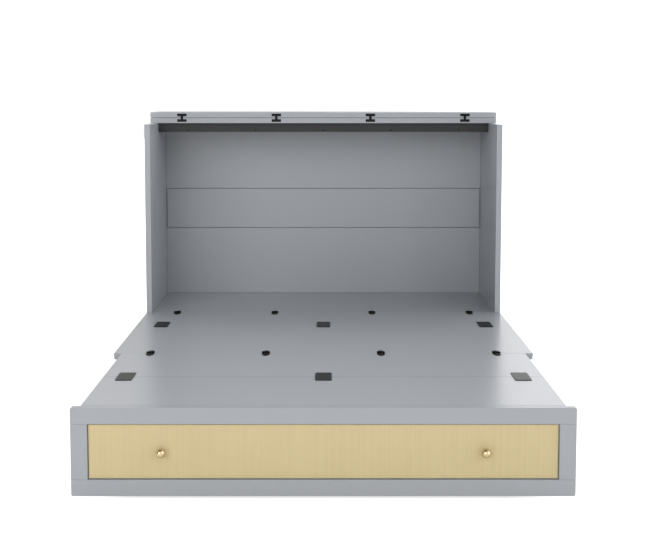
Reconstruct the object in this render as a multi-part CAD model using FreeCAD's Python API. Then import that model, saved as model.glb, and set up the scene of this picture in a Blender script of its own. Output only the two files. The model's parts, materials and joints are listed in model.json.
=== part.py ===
import FreeCAD, Part
import os
from math import asin, cos, pi, sin
from FreeCAD import Vector

# Cabinet bed, shown opened out and without its mattress.
#
# A low cabinet holds a fixed deck and a fixed rear half of its top. The front
# half of the top folds back onto the rear half on four let-in hinges. The
# front panel, whose outer side looks like three drawer fronts, folds down on
# four strap hinges and lies level with the deck. The foot panel is hinged to
# the far end of the front panel, and folds back onto it. A wide drawer on
# casters rolls out to the foot end, and its bearer carries the foot panel.
#
# Screws and textures are left off. Small round parts that repeat many times have
# flat sides, which keeps the whole bed light: a barrel or a pin has its corners
# on the stated radius, and a bore or a wheel has its flats there.
#
# Every piece is drawn in millimetres with x = 0 on the middle plane, z = 0 on
# the floor and y = 0 at the front edges of the cabinet's sides, with the rear
# at +y. The finished pieces are moved along y by ORIGIN_SHIFT, which puts the
# origin on the floor under the middle of the opened bed.

# ---- Driving dimensions -------------------------------------------------

WIDTH = 1620.0            # over the cabinet sides, the front panel and the drawer front
BOARD = 25.0              # thickness of the lacquered boards
DEPTH = 570.0             # cabinet sides, front edge to rear edge
SIDE_TOP = 1160.0         # top edge of the sides
DECK_TOP = 300.0          # sleeping deck above the floor
EASE = 1.0                # chamfer on the long edges of cabinet boards
SEAM_EASE = 0.5           # chamfer where deck boards meet

TOP_WIDTH = 1640.0
TOP_REAR = 575.0
TOP_SPLIT = 267.5         # front edge of the fixed top
FLAP_DEPTH = 303.0
STACK_GAP = 1.3           # between the fixed top and the flap folded back on it
TOP_AXIS_OUT = 0.5        # hinge axis in front of the split edge

BACK_FACE = 546.0         # front face of the back boards
BACK_BOARD = 18.0
BACK_SEAMS = (629.0, 829.0)
BACK_SHADOW = 3.0         # the middle back board's face is cut back from the seams,
BACK_END_SHADOW = 4.0     # and from the sides,
BACK_REBATE = 8.0         # to this depth
CLEAT = 25.0
CLEAT_DEPTH = 40.0
RAIL_FRONT = 60.0         # the deck rails keep clear of the drawer's bearer
GLIDE = 4.0
GLIDE_WIDTH = 20.0

STEEL_RAIL_FACE = 286.0
STEEL_RAIL_HEIGHT = 42.0
STEEL_RAIL_FOOT = 40.0
STEEL = 2.5

PANEL_GAP = 1.0           # from each fold axis to the board edges beside it
FRONT_LENGTH = 850.0      # from the cabinet's fold axis to the foot panel's
FOOT_LENGTH = 767.0       # foot panel, from its fold axis to its end
FOOT_WIDTH = 1560.0       # narrow enough to fold in between the sides
FOOT_SEAM = 380.5         # joint of the two foot boards, from the fold axis
FOOT_BEVEL = 15.0         # the foot end slopes in by this much underneath
CORE = 12.0               # inner boards of the front panel
FASCIA = 13.0             # frames in front of the inner boards
ROWS = 3
ROW_GROOVE = 3.0
FRAME_WIDTH = 54.0        # rails and stiles round each woven panel
FRAME_CORNER = 6.0        # rounded corners of each framed front
CORNER_STEPS = 4
INSET_THICK = 6.0

BATTEN_WIDTH = 80.0
BATTEN_X = (-700.0, 0.0, 700.0)
BATTEN_START = 20.0       # from the foot panel's fold axis
BATTEN_END = 700.0
LEG_X = (-686.0, 0.0, 686.0)
LEG_OUT = 70.0            # legs stand this far beyond the foot panel's fold axis
LEG = 25.0
LEG_WALL = 2.0
LEG_PLATE = 50.0
LEG_PLATE_THICK = 4.0
LEG_FOOT = 6.0

DRAWER_FRONT_BACK = -1620.0   # rear face of the drawer front
DRAWER_FRONT_BOTTOM = 10.4
DRAWER_FRONT_TOP = DECK_TOP
DRAWER_DEPTH = 445.0
DRAWER_HALF = 722.5
DRAWER_WALL = 15.0
DRAWER_SIDE_TOP = 240.0
DRAWER_LOW_TOP = 165.0        # back and divider stay under the legs as the drawer rolls in
DRAWER_FLOOR = 50.0
DRAWER_FLOOR_THICK = 9.0
SUB_FRONT = 18.0
BEARER_DEPTH = 30.0
BEARER_HEIGHT = 29.5
BEARER_PLAY = 0.5

KNOB_X = 520.0
KNOB_BALL = 15.5
KNOB_REACH = 35.0         # from the woven panel to the front of the ball
KNOB_ROSE = 8.0
KNOB_ROSE_HEIGHT = 1.5
KNOB_NECK = 4.5
KNOB_NECK_START = 2.2
KNOB_RINGS = 7            # rings of corners from the neck to the top of the ball

PLATE_X = (-700.0, 0.0, 700.0)
PLATE = (58.0, 110.0, 2.5)
PLATE_CORNER = 3.0

HINGE_X = (-668.0, -222.0, 222.0, 668.0)
STRAP_WIDTH = 30.0
STRAP_REACH = 44.0
STRAP_STRAIGHT = 12.0     # the leaf's sides run straight this far, then curve in
STRAP_THICK = 2.0
STRAP_AXIS = 3.75         # fold axis above the deck
STRAP_BARREL = 3.5
STRAP_CLEAR = 4.0         # cut back round the other leaf's knuckles
STRAP_PIN = 1.5
PIN_PLAY = 0.05

TOP_HINGE_X = (-671.0, -223.0, 223.0, 671.0)
TEE_BAR = (45.0, 13.0)
TEE_NECK = 12.0
TEE_THICK = 2.0
TOP_BARREL = 2.5
TOP_CLEAR = 2.9
TOP_PIN = 1.2

KNUCKLE_GAP = 0.3

WHEEL_X = 600.0
WHEEL_Y = (-1560.0, -1240.0)
WHEEL_RADIUS = 20.0
WHEEL_HALF = 9.0
HUB_HALF = 10.0
FORK_GAP = 0.4
FORK_THICK = 2.0
FORK_END = 8.0            # rounded lower end of each cheek
FORK_TOP = 28.0           # width of each cheek under the plate
CASTER_PLATE = (50.0, 62.0, 2.5)
AXLE = 3.0
AXLE_HEAD = 5.0
HUB = 8.0
RIM = 15.0
WEB_RECESS = 2.0

BARREL_SIDES = 16
PIN_SIDES = 12
KNOB_SIDES = 16
WHEEL_SIDES = 32
HEX = 6

# ---- Sizes worked out from them -----------------------------------------

HALF = WIDTH / 2
INNER = HALF - BOARD
TOP_FACE = SIDE_TOP + BOARD
TOP_AXIS_Y = TOP_SPLIT - TOP_AXIS_OUT
TOP_AXIS_Z = TOP_FACE + STACK_GAP / 2
DECK_UNDER = DECK_TOP - BOARD
STRAP_AXIS_Z = DECK_TOP + STRAP_AXIS
FOOT_AXIS_Y = -FRONT_LENGTH
FOOT_END = FOOT_AXIS_Y - FOOT_LENGTH
BATTEN_UNDER = DECK_UNDER - CLEAT
DRAWER_FACE = DRAWER_FRONT_BACK - BOARD
KNOB_TIP = DRAWER_FACE + (FASCIA - INSET_THICK) - KNOB_REACH
ORIGIN_SHIFT = -(KNOB_TIP + TOP_REAR) / 2


# ---- Shapes used more than once -----------------------------------------

def block(x, y, z):
    """Box between the low and high ends given along each axis."""
    corner = Vector(x[0], y[0], z[0])
    return Part.makeBox(x[1] - x[0], y[1] - y[0], z[1] - z[0], corner)


def board(x, y, z, ease=EASE):
    """Box whose edges are all eased by a small chamfer."""
    solid = block(x, y, z)
    return solid.makeChamfer(ease, solid.Edges)


def centred(middle, size):
    """Low and high ends of a length about its middle."""
    return (middle - size / 2, middle + size / 2)


def ring(radius, sides):
    """Corners of an even-sided outline about the origin, with flats square to both axes."""
    turns = [2 * pi * (number + 0.5) / sides for number in range(sides)]
    return [(radius * cos(turn), radius * sin(turn)) for turn in turns]


def bar(radius, x, y, z, sides=PIN_SIDES, on_flats=False):
    """Flat-sided round bar along x; the radius is to its corners, or to its flats if asked."""
    reach = radius / cos(pi / sides) if on_flats else radius
    return swept([(y + a, z + b) for a, b in ring(reach, sides)], x)


def swept(points, x):
    """Outline in the y-z plane, carried along x between the ends in x."""
    corners = [Vector(x[0], y, z) for y, z in points]
    face = Part.Face(Part.makePolygon(corners + corners[:1]))
    return face.extrude(Vector(x[1] - x[0], 0, 0))


def turned(profile, sides):
    """Flat-sided turning about z through the (radius, height) points of its profile."""
    rings = []
    for radius, height in profile:
        rings.append([Vector(x, y, height) for x, y in ring(radius, sides)])
    outlines = [rings[0], rings[-1]]
    for lower, upper in zip(rings, rings[1:]):
        for number in range(sides):
            after = (number + 1) % sides
            outlines.append([lower[number], lower[after], upper[after], upper[number]])
    faces = [Part.Face(Part.makePolygon(corners + corners[:1])) for corners in outlines]
    solid = Part.Solid(Part.makeShell(faces))
    if solid.Volume < 0:
        solid.reverse()
    return solid


def knuckle_spans(x, width):
    """Three knuckles of one barrel along x: the outer two and the middle one."""
    pitch = width / 3
    first = x - width / 2
    spans = []
    for number in range(3):
        low = first + number * pitch
        high = low + pitch
        if number > 0:
            low += KNUCKLE_GAP / 2
        if number < 2:
            high -= KNUCKLE_GAP / 2
        spans.append((low, high))
    return [spans[0], spans[2]], [spans[1]]


def rounded_front(height, y):
    """Full-width slab standing on z = 0, with its four outer corners rounded."""
    radius = FRAME_CORNER
    centres = [
        (HALF - radius, height - radius),
        (-HALF + radius, height - radius),
        (-HALF + radius, radius),
        (HALF - radius, radius),
    ]
    corners = []
    for quarter, (x, z) in enumerate(centres):
        for step in range(CORNER_STEPS + 1):
            turn = (quarter + step / CORNER_STEPS) * pi / 2
            corners.append(Vector(x + radius * cos(turn), y[0], z + radius * sin(turn)))
    face = Part.Face(Part.makePolygon(corners + corners[:1]))
    return face.extrude(Vector(0, y[1] - y[0], 0))


def knob():
    """Ball knob standing on z = 0 and pointing up: rose, neck and ball in one turning."""
    centre = KNOB_REACH - KNOB_BALL
    profile = [
        (KNOB_ROSE, 0),
        (KNOB_ROSE, KNOB_ROSE_HEIGHT),
        (KNOB_NECK, KNOB_NECK_START),
    ]
    first = asin(KNOB_NECK / KNOB_BALL)
    for number in range(KNOB_RINGS):
        turn = first + number * (pi - first) / KNOB_RINGS
        profile.append((KNOB_BALL * sin(turn), centre - KNOB_BALL * cos(turn)))
    tip_radius = KNOB_ROSE / 4
    profile.append((tip_radius, KNOB_REACH))
    return turned(profile, KNOB_SIDES)


def framed_front(height):
    """Rails, stiles, woven panel and knobs of a front that stands on z = 0 and faces -y."""
    y = (0, FASCIA)
    inset_y = (FASCIA - INSET_THICK, FASCIA)
    whole = (-HALF, HALF)
    slab = rounded_front(height, y)
    rails = [
        board(whole, y, (0, FRAME_WIDTH)).common(slab),
        board(whole, y, (height - FRAME_WIDTH, height)).common(slab),
    ]
    between = (FRAME_WIDTH, height - FRAME_WIDTH)
    stiles = [
        board((-HALF, -HALF + FRAME_WIDTH), y, between),
        board((HALF - FRAME_WIDTH, HALF), y, between),
    ]
    inset = block((-HALF + FRAME_WIDTH, HALF - FRAME_WIDTH), inset_y, between)
    knobs = []
    for x in (-KNOB_X, KNOB_X):
        piece = knob()
        piece.rotate(Vector(0, 0, 0), Vector(1, 0, 0), 90)
        piece.translate(Vector(x, inset_y[0], height / 2))
        knobs.append(piece)
    return {"rails": rails, "stiles": stiles, "inset": [inset], "knobs": knobs}


# ---- Cabinet ------------------------------------------------------------

def rebated_back(x, y, z):
    """Middle back board: its front is cut back all round, which leaves a dark line there."""
    step = y[0] + BACK_REBATE
    rear = block(x, (step, y[1]), z)
    face_x = (x[0] + BACK_END_SHADOW, x[1] - BACK_END_SHADOW)
    face_z = (z[0] + BACK_SHADOW, z[1] - BACK_SHADOW)
    solid = rear.fuse(block(face_x, (y[0], step), face_z)).removeSplitter()
    outer = [edge for edge in solid.Edges if edge.BoundBox.YMax < y[0] + EASE]
    return solid.makeChamfer(EASE, outer)


def cabinet_pieces():
    """Sides, fixed deck with its cleats and rails, back boards and glides."""
    pieces = {}
    side_z = (GLIDE, SIDE_TOP)
    pieces["side_left"] = board((-HALF, -INNER), (0, DEPTH), side_z)
    pieces["side_right"] = board((INNER, HALF), (0, DEPTH), side_z)

    across = (-INNER, INNER)
    pieces["fixed_deck"] = board(across, (PANEL_GAP, BACK_FACE), (DECK_UNDER, DECK_TOP), SEAM_EASE)
    under = (BATTEN_UNDER, DECK_UNDER)
    run = (RAIL_FRONT, BACK_FACE)
    cleats = [
        block((-INNER, -INNER + CLEAT), run, (DECK_UNDER - CLEAT_DEPTH, DECK_UNDER)),
        block((INNER - CLEAT, INNER), run, (DECK_UNDER - CLEAT_DEPTH, DECK_UNDER)),
    ]
    pieces["deck_cleats"] = Part.makeCompound(cleats)
    between = (-INNER + CLEAT, INNER - CLEAT)
    pieces["deck_front_rail"] = board(between, (RAIL_FRONT, RAIL_FRONT + CLEAT_DEPTH), under)
    pieces["deck_rear_rail"] = board(between, (BACK_FACE - CLEAT_DEPTH, BACK_FACE), under)

    behind = (BACK_FACE, BACK_FACE + BACK_BOARD)
    low_seam, high_seam = BACK_SEAMS
    pieces["back_lower"] = board(across, behind, (DECK_TOP, low_seam))
    pieces["back_middle"] = rebated_back(across, behind, (low_seam, high_seam))
    pieces["back_upper"] = board(across, behind, (high_seam, SIDE_TOP))
    pieces["base_back"] = board(across, behind, (CLEAT, DECK_TOP - EASE))

    glides = []
    for x in (-HALF + BOARD / 2, HALF - BOARD / 2):
        for y in (CLEAT_DEPTH, DEPTH / 2, DEPTH - CLEAT_DEPTH):
            pad = board(centred(x, GLIDE_WIDTH), centred(y, GLIDE_WIDTH), (0, GLIDE))
            glides.append(pad)
    pieces["side_glides"] = Part.makeCompound(glides)
    return pieces


def steel_rail():
    """Folded steel angle that stiffens the fixed top's front edge."""
    face = STEEL_RAIL_FACE
    bottom = SIDE_TOP - STEEL_RAIL_HEIGHT
    outline = [
        (face, bottom),
        (face + STEEL, bottom),
        (face + STEEL, SIDE_TOP - STEEL),
        (face + STEEL_RAIL_FOOT, SIDE_TOP - STEEL),
        (face + STEEL_RAIL_FOOT, SIDE_TOP),
        (face, SIDE_TOP),
    ]
    return swept(outline, (-INNER, INNER))


# ---- Top: fixed rear half, folding front half and their hinges ----------

def tee(x, depth, up):
    """T-shaped leaf or its mortise in a split edge; up is +1 in the flap, -1 in the fixed top."""
    middle = TOP_AXIS_Z + up * (STACK_GAP + BOARD) / 2
    y = (TOP_SPLIT, TOP_SPLIT + depth)
    bar = block(centred(x, TEE_BAR[0]), y, centred(middle, TEE_BAR[1]))
    neck_z = sorted((middle, TOP_AXIS_Z))
    neck = block(centred(x, TEE_NECK), y, neck_z)
    return bar.fuse(neck).removeSplitter()


def top_hinge(x):
    """Fixed leaf, flap leaf and pin of one let-in hinge."""
    outer, middle = knuckle_spans(x, TEE_NECK)
    whole = centred(x, TEE_NECK)
    axis = (TOP_AXIS_Y, TOP_AXIS_Z)
    bore = bar(TOP_PIN + PIN_PLAY, whole, *axis, on_flats=True)
    leaves = []
    for up, own, other in ((-1, outer, middle), (1, middle, outer)):
        leaf = tee(x, TEE_THICK, up)
        for low, high in other:
            room = (low - KNUCKLE_GAP / 2, high + KNUCKLE_GAP / 2)
            leaf = leaf.cut(bar(TOP_CLEAR, room, *axis, on_flats=True))
        for span in own:
            leaf = leaf.fuse(bar(TOP_BARREL, span, *axis))
        leaves.append(leaf.cut(bore).removeSplitter())
    pin = bar(TOP_PIN, whole, *axis)
    return leaves[0], leaves[1], pin


def top_pieces():
    """Both halves of the top, mortised for the leaves, and the four hinges."""
    across = centred(0, TOP_WIDTH)
    fixed = board(across, (TOP_SPLIT, TOP_REAR), (SIDE_TOP, TOP_FACE))
    flap_z = (TOP_FACE + STACK_GAP, TOP_FACE + STACK_GAP + BOARD)
    flap = board(across, (TOP_SPLIT, TOP_SPLIT + FLAP_DEPTH), flap_z)
    fixed_leaves = []
    flap_leaves = []
    pins = []
    for x in TOP_HINGE_X:
        room = centred(x, TEE_NECK + 2 * KNUCKLE_GAP)
        barrel_notch = bar(TOP_CLEAR, room, TOP_AXIS_Y, TOP_AXIS_Z, on_flats=True)
        fixed = fixed.cut(tee(x, TEE_THICK, -1)).cut(barrel_notch)
        flap = flap.cut(tee(x, TEE_THICK, 1)).cut(barrel_notch)
        fixed_leaf, flap_leaf, pin = top_hinge(x)
        fixed_leaves.append(fixed_leaf)
        flap_leaves.append(flap_leaf)
        pins.append(pin)
    return {
        "fixed_top": fixed,
        "top_flap": flap,
        "top_hinge_fixed_leaves": Part.makeCompound(fixed_leaves),
        "top_hinge_flap_leaves": Part.makeCompound(flap_leaves),
        "top_hinge_pins": Part.makeCompound(pins),
    }


# ---- Strap hinges of the deck -------------------------------------------

def strap_outline(x, axis_y, side):
    """Leaf outline on the deck: square at the barrel, half an ellipse at the far end."""
    half = STRAP_WIDTH / 2
    bulge = STRAP_REACH - STRAP_STRAIGHT
    middle = axis_y + side * STRAP_STRAIGHT
    corners = [Vector(x - half, axis_y, DECK_TOP)]
    steps = BARREL_SIDES // 2
    for number in range(steps + 1):
        turn = pi - number * pi / steps
        corners.append(Vector(x + half * cos(turn), middle + side * bulge * sin(turn), DECK_TOP))
    corners.append(Vector(x + half, axis_y, DECK_TOP))
    return corners


def strap_leaf(x, axis_y, side, own, other):
    """Round-ended leaf on the deck with its knuckles; side is +1 towards the rear."""
    corners = strap_outline(x, axis_y, side)
    face = Part.Face(Part.makePolygon(corners + corners[:1]))
    leaf = face.extrude(Vector(0, 0, STRAP_THICK))
    axis = (axis_y, STRAP_AXIS_Z)
    for low, high in other:
        room = (low - KNUCKLE_GAP / 2, high + KNUCKLE_GAP / 2)
        leaf = leaf.cut(bar(STRAP_CLEAR, room, *axis, BARREL_SIDES, on_flats=True))
        toe = block(room, centred(axis_y, 2 * PANEL_GAP), (DECK_TOP, STRAP_AXIS_Z))
        leaf = leaf.cut(toe)
    for span in own:
        leaf = leaf.fuse(bar(STRAP_BARREL, span, *axis, BARREL_SIDES))
    bore = bar(STRAP_PIN + PIN_PLAY, centred(x, STRAP_WIDTH), *axis, on_flats=True)
    return leaf.cut(bore).removeSplitter()


def strap_hinges(axis_y):
    """Rear leaves, front leaves and pins of the four hinges on one fold axis."""
    rear = []
    front = []
    pins = []
    for x in HINGE_X:
        outer, middle = knuckle_spans(x, STRAP_WIDTH)
        rear.append(strap_leaf(x, axis_y, 1, outer, middle))
        front.append(strap_leaf(x, axis_y, -1, middle, outer))
        pins.append(bar(STRAP_PIN, centred(x, STRAP_WIDTH), axis_y, STRAP_AXIS_Z))
    return [Part.makeCompound(group) for group in (rear, front, pins)]


# ---- Joining plates across the seams of the deck boards -----------------

def joining_plates(seam_y):
    """Three rectangular plates over a seam."""
    width, length, thick = PLATE
    plates = []
    for x in PLATE_X:
        plate = block(centred(x, width), centred(seam_y, length), (DECK_TOP, DECK_TOP + thick))
        corners = [edge for edge in plate.Edges if edge.BoundBox.ZLength > thick / 2]
        plates.append(plate.makeChamfer(PLATE_CORNER, corners))
    return Part.makeCompound(plates)


# ---- Front panel --------------------------------------------------------

def front_panel_pieces():
    """Inner boards, the three framed rows on their outer side, knobs and hardware."""
    across = (-HALF, HALF)
    near = -PANEL_GAP
    far = FOOT_AXIS_Y + PANEL_GAP
    row = (near - far - (ROWS - 1) * ROW_GROOVE) / ROWS
    seam = near - row - ROW_GROOVE / 2
    core_z = (DECK_TOP - CORE, DECK_TOP)
    groups = {"rails": [], "stiles": [], "inset": [], "knobs": []}
    for number in range(ROWS):
        start = near - number * (row + ROW_GROOVE)
        for kind, pieces in framed_front(row).items():
            for piece in pieces:
                piece.rotate(Vector(0, 0, 0), Vector(1, 0, 0), 90)
                piece.translate(Vector(0, start, DECK_UNDER))
                groups[kind].append(piece)
    return {
        "front_board_near": board(across, (seam, near), core_z, SEAM_EASE),
        "front_board_far": board(across, (far, seam), core_z, SEAM_EASE),
        "fascia_rails": Part.makeCompound(groups["rails"]),
        "fascia_stiles": Part.makeCompound(groups["stiles"]),
        "fascia_insets": Part.makeCompound(groups["inset"]),
        "fascia_knobs": Part.makeCompound(groups["knobs"]),
        "front_panel_plates": joining_plates(seam),
    }


# ---- Foot panel ---------------------------------------------------------

def foot_panel_pieces():
    """Two boards joined by plates, with battens and fixed legs underneath."""
    across = centred(0, FOOT_WIDTH)
    near = FOOT_AXIS_Y - PANEL_GAP
    seam = FOOT_AXIS_Y - FOOT_SEAM
    z = (DECK_UNDER, DECK_TOP)
    ease = SEAM_EASE
    outline = [
        (seam - ease, DECK_UNDER),
        (seam, DECK_UNDER + ease),
        (seam, DECK_TOP - ease),
        (seam - ease, DECK_TOP),
        (FOOT_END + ease, DECK_TOP),
        (FOOT_END, DECK_TOP - ease),
        (FOOT_END + FOOT_BEVEL, DECK_UNDER),
    ]

    battens = []
    batten_y = (FOOT_AXIS_Y - BATTEN_END, FOOT_AXIS_Y - BATTEN_START)
    for x in BATTEN_X:
        battens.append(board(centred(x, BATTEN_WIDTH), batten_y, (BATTEN_UNDER, DECK_UNDER)))

    tubes = []
    tops = []
    feet = []
    leg_y = FOOT_AXIS_Y - LEG_OUT
    leg_top = BATTEN_UNDER - LEG_PLATE_THICK
    for x in LEG_X:
        outside = block(centred(x, LEG), centred(leg_y, LEG), (LEG_FOOT, leg_top))
        corners = [edge for edge in outside.Edges if edge.BoundBox.ZLength > LEG]
        outside = outside.makeChamfer(LEG_WALL, corners)
        bore = LEG - 2 * LEG_WALL
        inside = block(centred(x, bore), centred(leg_y, bore), (LEG_FOOT, leg_top))
        tubes.append(outside.cut(inside))
        plate_z = (leg_top, BATTEN_UNDER)
        tops.append(board(centred(x, LEG_PLATE), centred(leg_y, LEG_PLATE), plate_z))
        feet.append(board(centred(x, LEG), centred(leg_y, LEG), (0, LEG_FOOT)))

    return {
        "foot_board_inner": board(across, (seam, near), z, SEAM_EASE),
        "foot_board_outer": swept(outline, across),
        "foot_battens": Part.makeCompound(battens),
        "foot_panel_plates": joining_plates(seam),
        "leg_tubes": Part.makeCompound(tubes),
        "leg_plates": Part.makeCompound(tops),
        "leg_feet": Part.makeCompound(feet),
    }


# ---- Drawer -------------------------------------------------------------

def drawer_pieces():
    """Framed front with its knobs, and the low box behind it."""
    height = DRAWER_FRONT_TOP - DRAWER_FRONT_BOTTOM
    place = Vector(0, DRAWER_FACE, DRAWER_FRONT_BOTTOM)
    front = framed_front(height)
    front["board"] = [rounded_front(height, (FASCIA, BOARD))]
    for pieces in front.values():
        for piece in pieces:
            piece.translate(place)

    sub_y = (DRAWER_FRONT_BACK, DRAWER_FRONT_BACK + SUB_FRONT)
    back_y = (DRAWER_FRONT_BACK + DRAWER_DEPTH - DRAWER_WALL, DRAWER_FRONT_BACK + DRAWER_DEPTH)
    run = (sub_y[1], back_y[0])
    box = (-DRAWER_HALF, DRAWER_HALF)
    inside = (-DRAWER_HALF + DRAWER_WALL, DRAWER_HALF - DRAWER_WALL)
    side_z = (DRAWER_FLOOR, DRAWER_SIDE_TOP)
    floor_z = (DRAWER_FLOOR, DRAWER_FLOOR + DRAWER_FLOOR_THICK)
    low_z = (floor_z[1], DRAWER_LOW_TOP)
    bearer_top = DECK_UNDER - BEARER_PLAY
    bearer_z = (bearer_top - BEARER_HEIGHT, bearer_top)
    bearer_y = (sub_y[1], sub_y[1] + BEARER_DEPTH)
    return {
        "drawer_front_board": front["board"][0],
        "drawer_front_rails": Part.makeCompound(front["rails"]),
        "drawer_front_stiles": Part.makeCompound(front["stiles"]),
        "drawer_front_inset": front["inset"][0],
        "drawer_knobs": Part.makeCompound(front["knobs"]),
        "drawer_sub_front": block(box, sub_y, (DRAWER_FLOOR, bearer_top)),
        "drawer_bearer": board(box, bearer_y, bearer_z),
        "drawer_side_left": board((box[0], inside[0]), run, side_z),
        "drawer_side_right": board((inside[1], box[1]), run, side_z),
        "drawer_back": board(box, back_y, (DRAWER_FLOOR, DRAWER_LOW_TOP)),
        "drawer_divider": block(centred(0, DRAWER_WALL), run, low_z),
        "drawer_floor": block(inside, run, floor_z),
    }


def wheel(x, y):
    """Wheel with a raised hub in a recessed web."""
    axis = (y, WHEEL_RADIUS)
    solid = bar(WHEEL_RADIUS, centred(x, 2 * WHEEL_HALF), *axis, WHEEL_SIDES, on_flats=True)
    for side in (-1, 1):
        face = x + side * WHEEL_HALF
        recess = sorted((face, face - side * WEB_RECESS))
        solid = solid.cut(bar(RIM, recess, *axis, BARREL_SIDES))
    solid = solid.fuse(bar(HUB, centred(x, 2 * HUB_HALF), *axis, BARREL_SIDES))
    bore = bar(AXLE + PIN_PLAY, centred(x, 2 * HUB_HALF), *axis, on_flats=True)
    return solid.cut(bore).removeSplitter()


def caster_fork(x, y):
    """Top plate with two tapered, round-ended cheeks that hold the axle."""
    width, length, thick = CASTER_PLATE
    under = DRAWER_FLOOR - thick
    fork = board(centred(x, width), centred(y, length), (under, DRAWER_FLOOR), thick / 4)
    outline = [
        (y - FORK_END, WHEEL_RADIUS),
        (y + FORK_END, WHEEL_RADIUS),
        (y + FORK_TOP / 2, under + thick / 2),
        (y - FORK_TOP / 2, under + thick / 2),
    ]
    for side in (-1, 1):
        near = x + side * (HUB_HALF + FORK_GAP)
        cheek_x = sorted((near, near + side * FORK_THICK))
        cheek = swept(outline, cheek_x)
        end = bar(FORK_END, cheek_x, y, WHEEL_RADIUS, BARREL_SIDES, on_flats=True)
        fork = fork.fuse(cheek).fuse(end)
    bore = bar(AXLE + PIN_PLAY, centred(x, width), y, WHEEL_RADIUS, on_flats=True)
    return fork.cut(bore).removeSplitter()


def caster_axle(x, y):
    """Pin through both cheeks with a hexagon head at each end."""
    outside = HUB_HALF + FORK_GAP + FORK_THICK
    axle = bar(AXLE, (x - outside, x + outside), y, WHEEL_RADIUS)
    for side in (-1, 1):
        head = sorted((x + side * outside, x + side * (outside + FORK_THICK)))
        axle = axle.fuse(bar(AXLE_HEAD, head, y, WHEEL_RADIUS, HEX))
    return axle


def caster_pieces():
    """Four rigid casters under the drawer floor."""
    pieces = {}
    forks = []
    axles = []
    for end, y in zip(("front", "rear"), WHEEL_Y):
        for hand, x in (("left", -WHEEL_X), ("right", WHEEL_X)):
            forks.append(caster_fork(x, y))
            axles.append(caster_axle(x, y))
            pieces["wheel_" + end + "_" + hand] = wheel(x, y)
    pieces["caster_forks"] = Part.makeCompound(forks)
    pieces["caster_axles"] = Part.makeCompound(axles)
    return pieces


# ---- Assembly -----------------------------------------------------------

def all_pieces():
    """Every piece by its node name, drawn about the cabinet's front edge."""
    pieces = {}
    for group in (
        cabinet_pieces,
        top_pieces,
        front_panel_pieces,
        foot_panel_pieces,
        drawer_pieces,
        caster_pieces,
    ):
        pieces.update(group())
    pieces["top_rail"] = steel_rail()
    rear, front, pins = strap_hinges(0.0)
    pieces["cabinet_hinge_deck_leaves"] = rear
    pieces["cabinet_hinge_panel_leaves"] = front
    pieces["cabinet_hinge_pins"] = pins
    rear, front, pins = strap_hinges(FOOT_AXIS_Y)
    pieces["foot_hinge_front_leaves"] = rear
    pieces["foot_hinge_foot_leaves"] = front
    pieces["foot_hinge_pins"] = pins
    return pieces


os.makedirs("parts", exist_ok=True)
for name, shape in all_pieces().items():
    shape.translate(Vector(0, ORIGIN_SHIFT, 0))
    shape.exportStep("parts/" + name + ".step")
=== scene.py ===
"""Looks of a fold-out cabinet bed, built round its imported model.

Every length is in metres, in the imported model's own frame: +Z is up, +Y runs from the foot end towards
the cabinet's back, and +X is to the right seen from the foot end. The bed stands opened out.

Boards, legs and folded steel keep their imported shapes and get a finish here. Pieces whose looks need finer
work are modelled here in the same places: the woven straw panels, the ball knobs, the strap hinges with
their pins, the caster wheels and all the screws.
"""

import json
import logging
import math
from dataclasses import dataclass
from enum import Enum
from typing import Iterable, Optional, Sequence, Union

import bmesh
import bpy
from mathutils import Matrix, Vector

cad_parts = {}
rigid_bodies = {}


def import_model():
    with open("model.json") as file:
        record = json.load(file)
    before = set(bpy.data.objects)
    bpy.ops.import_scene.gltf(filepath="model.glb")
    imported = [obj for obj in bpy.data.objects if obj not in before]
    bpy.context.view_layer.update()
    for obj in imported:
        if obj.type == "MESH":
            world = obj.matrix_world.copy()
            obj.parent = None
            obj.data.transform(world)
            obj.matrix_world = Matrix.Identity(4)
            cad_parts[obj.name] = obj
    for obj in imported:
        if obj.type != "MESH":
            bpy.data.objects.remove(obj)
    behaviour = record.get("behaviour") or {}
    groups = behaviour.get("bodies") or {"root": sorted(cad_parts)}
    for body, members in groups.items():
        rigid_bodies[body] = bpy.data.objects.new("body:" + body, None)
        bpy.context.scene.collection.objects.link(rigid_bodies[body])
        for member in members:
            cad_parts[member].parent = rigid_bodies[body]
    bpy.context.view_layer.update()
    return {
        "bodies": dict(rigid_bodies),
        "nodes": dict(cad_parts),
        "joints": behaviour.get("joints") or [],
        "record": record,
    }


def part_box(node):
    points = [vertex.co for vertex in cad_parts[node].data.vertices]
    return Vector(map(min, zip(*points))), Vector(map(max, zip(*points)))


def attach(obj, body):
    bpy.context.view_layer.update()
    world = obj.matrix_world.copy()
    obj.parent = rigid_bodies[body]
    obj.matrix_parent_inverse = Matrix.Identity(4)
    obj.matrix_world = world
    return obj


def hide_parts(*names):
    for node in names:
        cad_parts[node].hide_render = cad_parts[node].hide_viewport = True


LOG = logging.getLogger("cabinet_bed")

Value = Union[float, Sequence[float], bpy.types.NodeSocket]
Colour = tuple[float, float, float]

MM = 0.001
HAIR = 0.001 * MM
FULL_TURN = 2 * math.pi
SHARP = math.radians(50)


class Axis(Enum):
    """The three directions of the model's frame."""

    X = 0
    Y = 1
    Z = 2


class Slot(Enum):
    """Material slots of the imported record."""

    LACQUER = "grey_lacquer"
    STRAW = "woven_straw"
    BRASS = "knob_brass"
    BLACK_STEEL = "black_steel"
    PLAIN_STEEL = "plain_steel"
    PLYWOOD = "drawer_plywood"
    SOFTWOOD = "bare_softwood"
    PLASTIC = "black_plastic"


# ---- Node trees ---------------------------------------------------------------------------------------


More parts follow.
